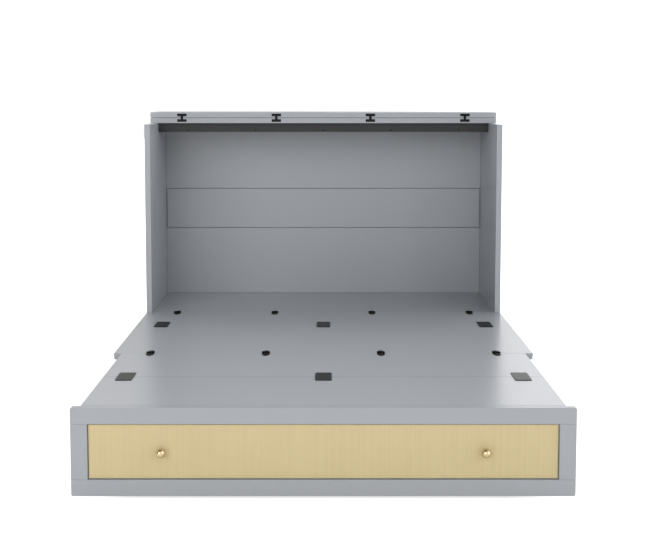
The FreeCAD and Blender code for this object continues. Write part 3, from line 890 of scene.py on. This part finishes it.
class FramedFronts(Assembly):
    """The drawer front and the three false fronts under the front panel."""

    rows = 3
    groove = 3.0 * MM
    frame_width = 54.0 * MM
    panel = WovenPanel()
    knob = BallKnob()

    def build(self) -> None:
        """Weaves the panels and turns the knobs."""
        low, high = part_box("drawer_front_inset")
        upright = Matrix.Rotation(math.pi / 2, 4, "X")
        middle = (low + high) / 2
        face = Vector((middle.x, low.y, middle.z))
        woven = Shape()
        woven.add(self.panel.shape(high.x - low.x, high.z - low.z), Matrix.Translation(face) @ upright)
        self.finish_panel(woven, "drawer_woven_panel", "drawer", "drawer_front_inset")
        knobs = Shape()
        self.add_knobs(knobs, face, (0, -1, 0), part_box("drawer_knobs"))
        self.finish_knobs(knobs, "drawer_ball_knobs", "drawer", "drawer_knobs")
        self.build_false_fronts()

    def build_false_fronts(self) -> None:
        """Repeats panel and knobs on each row of the front panel's outer side, which faces down."""
        low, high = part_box("fascia_rails")
        inset_low, inset_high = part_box("fascia_insets")
        row = (high.y - low.y - (self.rows - 1) * self.groove) / self.rows
        over = Matrix.Rotation(math.pi, 4, "X")
        panel = self.panel.shape(inset_high.x - inset_low.x, row - 2 * self.frame_width)
        woven = Shape()
        knobs = Shape()
        for number in range(self.rows):
            y = high.y - row / 2 - number * (row + self.groove)
            face = Vector(((low.x + high.x) / 2, y, inset_low.z))
            woven.add(panel, Matrix.Translation(face) @ over)
            self.add_knobs(knobs, face, (0, 0, -1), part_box("fascia_knobs"))
        self.finish_panel(woven, "front_panel_woven_panels", "front_panel", "fascia_insets")
        self.finish_knobs(knobs, "front_panel_ball_knobs", "front_panel", "fascia_knobs")

    def add_knobs(self, knobs: Shape, face: Vector, direction: Sequence[float], box: tuple) -> None:
        """Adds the two knobs of one front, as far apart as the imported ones."""
        knob = self.knob.shape()
        for x in (box[0].x + self.knob.ball, box[1].x - self.knob.ball):
            knobs.add(knob, facing((x, face.y, face.z), direction))

    def finish_panel(self, shape: Shape, name: str, body: str, node: str) -> None:
        """Makes a woven piece."""
        shop = self.shop
        shop.piece(shape, name, body, Slot.STRAW, (shop.straw, shop.binding), (node,), crease=80.0)

    def finish_knobs(self, shape: Shape, name: str, body: str, node: str) -> None:
        """Makes a piece of knobs."""
        self.shop.piece(shape, name, body, Slot.BRASS, (self.shop.brass,), (node,), crease=50.0)


@dataclass(frozen=True)
class StrapHinge:
    """Strap hinge with half-oval leaves and three knuckles, screwed on top of the deck."""

    width: float = 30.0 * MM
    reach: float = 44.0 * MM
    straight: float = 12.0 * MM
    thick: float = 2.0 * MM
    barrel: float = 3.5 * MM
    pin: float = 1.5 * MM
    play: float = 0.05 * MM
    gap: float = 0.3 * MM
    relief: float = 3.4 * MM
    knuckle_chamfer: float = 0.3 * MM
    edge_round: float = 0.5 * MM
    screw_in: float = 13.0 * MM
    screw_apart: float = 14.0 * MM
    places: tuple = (-0.668, -0.222, 0.222, 0.668)
    screw: Screw = Screw(radius=3.3 * MM, proud=0.2 * MM)

    def knuckles(self, outer: bool) -> list[tuple[float, float]]:
        """Returns the spans along x of the two outer knuckles, or of the middle one."""
        third = self.width / 3
        if outer:
            return [(-self.width / 2, -third / 2 - self.gap / 2), (third / 2 + self.gap / 2, self.width / 2)]
        return [(-third / 2 + self.gap / 2, third / 2 - self.gap / 2)]

    def leaf(self, outer: bool, axis_height: float) -> Shape:
        """Makes one leaf with its knuckles.

        Args:
            outer: whether it has the two outer knuckles.
            axis_height: the pin's height above the face that the leaf lies on.

        Returns:
            The leaf on z = 0, reaching from the pin along +y.
        """
        shape = self.plate(outer)
        chamfer = self.knuckle_chamfer
        inner = self.pin + self.play
        for low, high in self.knuckles(outer):
            profile = [(inner, low), (self.barrel - chamfer, low), (self.barrel, low + chamfer),
                       (self.barrel, high - chamfer), (self.barrel - chamfer, high), (inner, high)]
            shape.add(turned(profile, 36, closed=True), facing((0, 0, axis_height), (1, 0, 0)))
        return shape

    def plate(self, outer: bool) -> Shape:
        """Returns the flat part of a leaf, with a tongue under each of its own knuckles."""
        half = self.width / 2
        centre = self.straight
        oval = Matrix.Diagonal((1.0, (self.reach - centre) / half, 1.0, 1.0))
        shape = Shape()
        bm = shape.bm
        bmesh.ops.create_circle(bm, cap_ends=True, segments=56, radius=half,
                                matrix=Matrix.Translation((0, centre, 0)) @ oval)
        self.cut(bm, (0, centre, 0), (0, -1, 0), True)
        for x in (-self.width / 6, self.width / 6):
            self.cut(bm, (x, 0, 0), (1, 0, 0), False)
        edge = [item for item in bm.edges if all(abs(vert.co.y - centre) < HAIR for vert in item.verts)]
        made = bmesh.ops.extrude_edge_only(bm, edges=edge)["geom"]
        self.move_to(made, self.relief)
        tongues = []
        for item in made:
            if isinstance(item, bmesh.types.BMEdge):
                middle = (item.verts[0].co.x + item.verts[1].co.x) / 2
                level = abs(item.verts[0].co.y - item.verts[1].co.y) < HAIR
                if level and (abs(middle) > self.width / 6) == outer:
                    tongues.append(item)
        self.move_to(bmesh.ops.extrude_edge_only(bm, edges=tongues)["geom"], 0.0)
        bmesh.ops.recalc_face_normals(bm, faces=bm.faces)
        bmesh.ops.solidify(bm, geom=bm.faces, thickness=self.thick)
        low = min(vert.co.z for vert in bm.verts)
        bmesh.ops.translate(bm, vec=(0, 0, -low), verts=bm.verts)
        bmesh.ops.recalc_face_normals(bm, faces=bm.faces)
        top = [item for item in shape.sharp_edges()
               if all(vert.co.z > self.thick / 2 for vert in item.verts)]
        shape.ease(top, self.edge_round, 3)
        return shape

    @staticmethod
    def cut(bm: bmesh.types.BMesh, point: Sequence[float], normal: Sequence[float], clear: bool) -> None:
        """Cuts along a plane, and clears what is on the side of its normal if asked."""
        geom = list(bm.verts) + list(bm.edges) + list(bm.faces)
        bmesh.ops.bisect_plane(bm, geom=geom, plane_co=point, plane_no=normal, clear_outer=clear, dist=HAIR)

    @staticmethod
    def move_to(made: list, y: float) -> None:
        """Moves new corners to a distance from the pin."""
        for vert in corners(made):
            vert.co.y = y

    def screw_places(self) -> list[tuple[float, float]]:
        """Returns where a leaf's three screws are, from the pin."""
        half = self.screw_apart / 2
        return [(-half, self.screw_in), (half, self.screw_in), (0.0, self.reach - self.screw_in)]


class DeckHardware(Assembly):
    """Strap hinges, joining plates and their screws on the sleeping deck."""

    hinge = StrapHinge()
    pin_round = 0.4 * MM
    plate_width = 58.0 * MM
    plate_screw = Screw(radius=4.0 * MM, proud=0.25 * MM)
    plate_screw_in = (11.0 * MM, 13.0 * MM)

    def build(self) -> None:
        """Builds both rows of hinges, and screws the plates down."""
        self.hinge_row("front_panel_fold", "cabinet_hinge", (("cabinet", "deck"), ("front_panel", "panel")))
        self.hinge_row("foot_panel_fold", "foot_hinge", (("front_panel", "front"), ("foot_panel", "foot")))
        self.plate_screws("front_panel_plates", "front_panel", "front_plate_screws")
        self.plate_screws("foot_panel_plates", "foot_panel", "foot_plate_screws")

    def hinge_row(self, joint: str, row: str, sides: tuple) -> None:
        """Builds the four hinges of one fold.

        Args:
            joint: the fold's joint, whose place gives the pin's.
            row: the start of the nodes' names.
            sides: the body of the leaves, and what their node is named after, on the cabinet's side, which
                has the outer knuckles, and then on the foot side.
        """
        axis = self.shop.joint_place(joint)
        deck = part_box("fixed_deck")[1].z
        for (body, word), outer in zip(sides, (True, False)):
            leaf = self.hinge.leaf(outer, axis.z - deck)
            turn = Matrix.Rotation(0.0 if outer else math.pi, 4, "Z")
            leaves = Shape()
            heads = []
            for x in self.hinge.places:
                place = Matrix.Translation((x, axis.y, deck)) @ turn
                leaves.add(leaf, place)
                for number, (across, along) in enumerate(self.hinge.screw_places()):
                    spot = place @ Vector((across, along, self.hinge.thick))
                    heads.append(facing(spot, (0, 0, 1), 0.7 * number + 9.0 * x))
            start = row + "_" + word
            self.shop.piece(leaves, start + "_straps", body, Slot.BLACK_STEEL, (self.shop.hinge_black,),
                            (start + "_leaves",))
            self.drive(start + "_screws", body, self.hinge.screw, heads)
        self.pins(axis, row, sides[0][0])

    def pins(self, axis: Vector, row: str, body: str) -> None:
        """Builds the pins of one row, with rounded ends."""
        half = self.hinge.width / 2
        radius = self.hinge.pin
        profile = [(0.0, -half), (radius - self.pin_round, -half), (radius, -half + self.pin_round),
                   (radius, half - self.pin_round), (radius - self.pin_round, half), (0.0, half)]
        pin = turned(profile, 24)
        pins = Shape()
        for x in self.hinge.places:
            pins.add(pin, facing((x, axis.y, axis.z), (1, 0, 0)))
        self.shop.piece(pins, row + "_round_pins", body, Slot.PLAIN_STEEL, (self.shop.zinc,),
                        (row + "_pins",))

    def plate_screws(self, node: str, body: str, name: str) -> None:
        """Drives four screws into each of a panel's three joining plates."""
        low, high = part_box(node)
        middle = (low + high) / 2
        half = self.plate_width / 2
        heads = []
        for plate, x in enumerate((low.x + half, middle.x, high.x - half)):
            for corner in range(4):
                across = (-1 if corner % 2 else 1) * (half - self.plate_screw_in[0])
                along = (-1 if corner < 2 else 1) * ((high.y - low.y) / 2 - self.plate_screw_in[1])
                spot = (x + across, middle.y + along, high.z)
                heads.append(facing(spot, (0, 0, 1), 0.9 * corner + 0.5 * plate))
        self.drive(name, body, self.plate_screw, heads)


class TopHardware(Assembly):
    """Screws of the top's let-in hinges and of the steel rail under it."""

    hinge_places = (-0.671, -0.223, 0.223, 0.671)
    hinge_screw = Screw(radius=3.0 * MM, proud=0.2 * MM)
    hinge_screw_out = 14.5 * MM
    rail_places = (-0.644, -0.322, 0.0, 0.322, 0.644)
    rail_screw = Screw(radius=4.2 * MM, proud=1.4 * MM, sunk=0.2 * MM)
    rail_screw_up = 9.0 * MM

    def build(self) -> None:
        """Drives the screws, which all face the foot end."""
        for name, body, board in (("top_hinge_fixed_screws", "cabinet", "fixed_top"),
                                  ("top_hinge_flap_screws", "top_flap", "top_flap")):
            low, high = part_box(board)
            heads = []
            for x in self.hinge_places:
                for side in (-1, 1):
                    spot = (x + side * self.hinge_screw_out, low.y, (low.z + high.z) / 2)
                    heads.append(facing(spot, (0, -1, 0), 0.6 * side + 5.0 * x))
            self.drive(name, body, self.hinge_screw, heads)
        low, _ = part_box("top_rail")
        heads = [facing((x, low.y, low.z + self.rail_screw_up), (0, -1, 0), 0.8 * number)
                 for number, x in enumerate(self.rail_places)]
        self.drive("top_rail_screws", "cabinet", self.rail_screw, heads)


@dataclass(frozen=True)
class CasterWheel:
    """Moulded wheel with a rounded tread, a recessed web and a raised hub."""

    radius: float = 20.0 * MM
    half: float = 9.0 * MM
    rim: float = 15.0 * MM
    web: float = 2.0 * MM
    hub: float = 8.0 * MM
    hub_half: float = 10.0 * MM
    bore: float = 3.05 * MM

    def shape(self) -> Shape:
        """Returns the wheel about the origin, with its axle along x."""
        side = [
            (self.radius, 0.0),
            (self.radius, self.half - 2.4 * MM),
            (self.radius - 0.3 * MM, self.half - 1.2 * MM),
            (self.radius - 1.0 * MM, self.half - 0.35 * MM),
            (self.radius - 2.0 * MM, self.half),
            (self.rim + 0.6 * MM, self.half),
            (self.rim + 0.1 * MM, self.half - 0.3 * MM),
            (self.rim - 0.3 * MM, self.half - self.web),
            (self.hub + 0.9 * MM, self.half - self.web),
            (self.hub, self.half - self.web + 0.6 * MM),
            (self.hub - 0.2 * MM, self.hub_half - 0.5 * MM),
            (self.hub - 0.8 * MM, self.hub_half),
            (self.bore + 0.3 * MM, self.hub_half),
            (self.bore, self.hub_half - 0.3 * MM),
        ]
        mirrored = [(radius, -height) for radius, height in reversed(side[1:])]
        shape = Shape()
        shape.add(turned(side + mirrored, 64, closed=True), facing((0, 0, 0), (1, 0, 0)))
        return shape


class Drawer(Assembly):
    """The drawer's wheels and the screws of their casters."""

    plate = (50.0 * MM, 62.0 * MM)
    plate_thick = 2.5 * MM
    screw = Screw(radius=3.4 * MM, proud=0.9 * MM)
    screw_in = 6.0 * MM

    def build(self) -> None:
        """Builds the wheels, and screws the casters' plates up against the drawer's floor."""
        wheel = CasterWheel().shape()
        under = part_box("drawer_side_left")[0].z - self.plate_thick
        out, along = (length / 2 - self.screw_in for length in self.plate)
        heads = []
        for end in ("front", "rear"):
            for hand in ("left", "right"):
                node = "wheel_" + end + "_" + hand
                low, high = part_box(node)
                centre = (low + high) / 2
                placed = Shape()
                placed.add(wheel, Matrix.Translation(centre))
                self.shop.piece(placed, "caster_" + node, node, Slot.PLASTIC, (self.shop.plastic,), (node,))
                for x in (centre.x - out, centre.x + out):
                    for y in (centre.y - along, centre.y + along):
                        heads.append(facing((x, y, under), (0, 0, -1), x + 40.0 * y))
        self.drive("caster_plate_screws", "drawer", self.screw, heads, plated=True)


class FootPanel(Assembly):
    """Screws of the battens and of the legs' plates under the foot panel."""

    batten_width = 80.0 * MM
    batten_rows = 5
    batten_screw_start = 0.35
    batten_screw_out = 16.0 * MM
    batten_screw = Screw(radius=3.8 * MM, proud=0.1 * MM)
    plate_width = 50.0 * MM
    plate_screw = Screw(radius=3.0 * MM, proud=0.5 * MM)
    plate_screw_out = 19.0 * MM

    def build(self) -> None:
        """Drives the screws, which all face down."""
        low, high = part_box("foot_battens")
        heads = []
        for x in self.middles(low, high, self.batten_width):
            for number in range(self.batten_rows):
                y = low.y + (number + self.batten_screw_start) * (high.y - low.y) / self.batten_rows
                side = self.batten_screw_out * (1 if number % 2 else -1)
                heads.append(facing((x + side, y, low.z), (0, 0, -1), number))
        self.drive("batten_screws", "foot_panel", self.batten_screw, heads, plated=True)
        low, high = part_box("leg_plates")
        heads = []
        for x in self.middles(low, high, self.plate_width):
            for side in (-1, 1):
                for end in (-1, 1):
                    y = (low.y + high.y) / 2 + end * self.plate_screw_out
                    spot = (x + side * self.plate_screw_out, y, low.z)
                    heads.append(facing(spot, (0, 0, -1), 3.0 * x + end))
        self.drive("leg_plate_screws", "foot_panel", self.plate_screw, heads)

    @staticmethod
    def middles(low: Vector, high: Vector, width: float) -> tuple[float, float, float]:
        """Returns where the middles of three equal parts are, that share a box from side to side."""
        return low.x + width / 2, (low.x + high.x) / 2, high.x - width / 2


class PackedFinishes(Assembly):
    """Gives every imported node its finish, by its slot in the record unless it is named here."""

    foot_boards = ("front_board_near", "foot_board_inner", "foot_board_outer")
    dark_grey = ("top_rail",)
    plywood = {
        "drawer_sub_front": (Axis.X, Axis.Y),
        "drawer_side_left": (Axis.Y, Axis.X),
        "drawer_side_right": (Axis.Y, Axis.X),
        "drawer_back": (Axis.X, Axis.Y),
        "drawer_divider": (Axis.Y, Axis.X),
        "drawer_floor": (Axis.X, Axis.Z),
    }
    softwood = {
        "foot_battens": Axis.Y,
        "deck_cleats": Axis.Y,
        "deck_front_rail": Axis.X,
        "deck_rear_rail": Axis.X,
        "drawer_bearer": Axis.X,
    }

    def build(self) -> None:
        """Coats each node."""
        shop = self.shop
        jointed = self.joint_shade_lacquer()
        plain = {
            Slot.LACQUER: shop.lacquer,
            Slot.STRAW: shop.straw,
            Slot.BRASS: shop.brass,
            Slot.BLACK_STEEL: shop.black_steel,
            Slot.PLAIN_STEEL: shop.zinc,
            Slot.PLASTIC: shop.plastic,
        }
        for part in shop.frame["record"]["subparts"]:
            node = part["node"]
            slot = Slot(part["material_slot"])
            if node in self.foot_boards:
                shop.coat(node, jointed)
            elif node in self.dark_grey:
                shop.coat(node, shop.rail_steel)
            elif slot is Slot.PLYWOOD:
                shop.coat(node, self.plywood_of(node))
            elif slot is Slot.SOFTWOOD:
                shop.coat(node, shop.softwood[self.softwood[node]])
            else:
                shop.coat(node, plain[slot])

    def joint_shade_lacquer(self) -> bpy.types.Material:
        """Returns the lacquer with painted shade along the joints where the boards meet in the foot panel's
        fold and in its seam.
        """
        near, inner, outer = (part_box(node) for node in self.foot_boards)
        joints = ((near[0].y + inner[1].y) / 2, (inner[0].y + outer[1].y) / 2)
        # painted shade: this lacquer darkens a thin line along each joint, standing for the gaps' shadow
        return Lacquer("satin_grey_lacquer_joint_shade", joints=joints).make()

    def plywood_of(self, node: str) -> bpy.types.Material:
        """Returns the plywood of one board, with its veneers in line with its faces."""
        grain, across = self.plywood[node]
        low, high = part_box(node)
        start = low[across.value]
        return Plywood("birch_ply_" + node, grain, across=across, start=start,
                       thickness=high[across.value] - start).make()


# ---- Studio -------------------------------------------------------------------------------------------


@dataclass(frozen=True)
class Softbox:
    """A rectangular studio light."""

    name: str
    place: tuple
    target: tuple
    size: tuple
    power: float

    def build(self) -> None:
        """Adds the light, which the camera doesn't see."""
        data = bpy.data.lights.new(self.name, "AREA")
        data.shape = "RECTANGLE"
        data.size, data.size_y = self.size
        data.energy = self.power
        light = bpy.data.objects.new(self.name, data)
        light.location = self.place
        aim = Vector(self.target) - Vector(self.place)
        light.rotation_euler = aim.to_track_quat("-Z", "Y").to_euler()
        light.visible_camera = False
        bpy.context.scene.collection.objects.link(light)


@dataclass(frozen=True)
class Glow:
    """A bright stretch of the studio's walls, with soft edges.

    The bearing of its middle is in degrees from +Y towards +X, and its heights are in degrees above the
    horizon.
    """

    bearing: float
    half_width: float
    low: float
    high: float
    strength: float
    softness: float = 12.0
    least_level = 0.0001

    def draw(self, graph: Graph, x: Value, y: Value, z: Value) -> bpy.types.NodeSocket:
        """Returns the stretch's brightness in the direction x, y, z."""
        turn = math.radians(self.bearing)
        level = graph.math("SQRT", graph.math("MULTIPLY_ADD", x, x, graph.math("MULTIPLY", y, y)))
        towards = graph.math("MULTIPLY_ADD", x, math.sin(turn), graph.math("MULTIPLY", y, math.cos(turn)))
        cosine = graph.math("DIVIDE", towards, graph.math("MAXIMUM", level, self.least_level))
        off = graph.math("ARCCOSINE", cosine)
        height = graph.math("ARCSINE", z)
        across = self.edge(graph, off, self.half_width, 1.0, 0.0)
        above = self.edge(graph, height, self.low, 0.0, 1.0)
        below = self.edge(graph, height, self.high, 1.0, 0.0)
        inside = graph.math("MULTIPLY", across, graph.math("MULTIPLY", above, below))
        return graph.math("MULTIPLY", inside, self.strength)

    def edge(self, graph: Graph, angle: Value, at: float, before: float,
             after: float) -> bpy.types.NodeSocket:
        """Returns a soft step from one value to another at an angle."""
        half = self.softness / 2
        return graph.span(angle, math.radians(at - half), math.radians(at + half), before, after)


class Studio:
    """Pale floor, soft lights and the camera."""

    eye = Vector((0.0, -4.7796, 1.2960))
    pitch = math.radians(5.0)
    lens = 65.22
    sensor = 36.0
    shift = (0.0025, -0.1201)
    floor_size = 60.0
    floor_white = (0.9, 0.9, 0.9)
    floor_roughness = 0.9
    floor_glow = 0.10
    floor_glow_seen = 0.62
    lights = (
        Softbox("key_left", (-5.4, -9.2, 5.2), (0.0, 0.0, 0.4), (7.4, 6.4), 380.0),
        Softbox("strip_right", (6.0, -8.0, 4.2), (0.0, 0.0, 0.4), (1.0, 4.6), 45.0),
    )
    walls = (
        Glow(-55.0, 35.0, -20.0, 22.0, 2.4),
        Glow(-8.0, 14.0, -20.0, 22.0, 0.6),
        Glow(50.0, 45.0, -20.0, 22.0, 1.7),
        Glow(112.0, 22.0, -20.0, 22.0, 1.9),
        Glow(170.0, 25.0, -20.0, 22.0, 0.5),
        Glow(-160.0, 22.0, -20.0, 22.0, 1.2),
        Glow(-60.0, 30.0, 22.0, 55.0, 1.8),
        Glow(0.0, 30.0, 22.0, 55.0, 2.4),
        Glow(60.0, 30.0, 22.0, 55.0, 2.4),
        Glow(135.0, 45.0, 22.0, 55.0, 1.1),
        Glow(180.0, 50.0, 22.0, 70.0, 0.16),
        Glow(0.0, 200.0, 70.0, 110.0, 0.25),
    )

    def build(self) -> None:
        """Builds floor, surroundings, lights and camera."""
        self.build_floor()
        self.build_surroundings()
        for light in self.lights:
            light.build()
        self.build_camera()
        bpy.context.scene.view_settings.view_transform = "Standard"

    def build_floor(self) -> None:
        """Adds the floor, which isn't part of the bed and is clear from below."""
        shape = Shape()
        bmesh.ops.create_grid(shape.bm, x_segments=4, y_segments=4, size=self.floor_size / 2)
        mesh = bpy.data.meshes.new("floor")
        shape.bm.to_mesh(mesh)
        shape.bm.free()
        floor = bpy.data.objects.new("floor", mesh)
        bpy.context.scene.collection.objects.link(floor)
        blank = Blank("pale_floor")
        seen = blank.graph.add("ShaderNodeLightPath").outputs["Is Camera Ray"]
        glow = blank.graph.span(seen, 0.0, 1.0, self.floor_glow, self.floor_glow_seen)
        back = blank.graph.add("ShaderNodeNewGeometry").outputs["Backfacing"]
        clear = blank.graph.math("SUBTRACT", 1.0, back)
        white = blank.dress(base_color=opaque(self.floor_white), roughness=self.floor_roughness,
                            emission_color=(1.0, 1.0, 1.0, 1.0), emission_strength=glow, alpha=clear)
        mesh.materials.append(white)

    def build_surroundings(self) -> None:
        """Lights the studio's walls in stretches, which the camera sees as plain white."""
        world = bpy.data.worlds.new("surroundings")
        world.use_nodes = True
        world.node_tree.nodes.clear()
        graph = Graph(world.node_tree)
        direction = graph.add("ShaderNodeTexCoord").outputs["Generated"]
        x, y, z = graph.parts(direction)
        seen = graph.add("ShaderNodeLightPath").outputs["Is Camera Ray"]
        total = 0.0
        for wall in self.walls:
            total = graph.math("ADD", wall.draw(graph, x, y, z), total)
        strength = graph.math("MAXIMUM", total, seen)
        background = graph.add("ShaderNodeBackground", {0: (1.0, 1.0, 1.0, 1.0), 1: strength})
        output = graph.add("ShaderNodeOutputWorld")
        world.node_tree.links.new(background.outputs[0], output.inputs[0])
        bpy.context.scene.world = world

    def build_camera(self) -> None:
        """Adds the camera where the photograph's was."""
        data = bpy.data.cameras.new("camera")
        data.lens = self.lens
        data.sensor_width = self.sensor
        data.shift_x, data.shift_y = self.shift
        camera = bpy.data.objects.new("camera", data)
        camera.location = self.eye
        camera.rotation_euler = (math.pi / 2 - self.pitch, 0.0, 0.0)
        bpy.context.scene.collection.objects.link(camera)
        bpy.context.scene.camera = camera


def main() -> None:
    """Builds the bed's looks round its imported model."""
    logging.basicConfig(level=logging.INFO, format="%(name)s: %(message)s")
    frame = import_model()
    shop = Workshop(frame)
    PackedFinishes(shop).build()
    for assembly in (FramedFronts, DeckHardware, TopHardware, Drawer, FootPanel):
        assembly(shop).build()
    Studio().build()


if __name__ == "__main__":
    main()
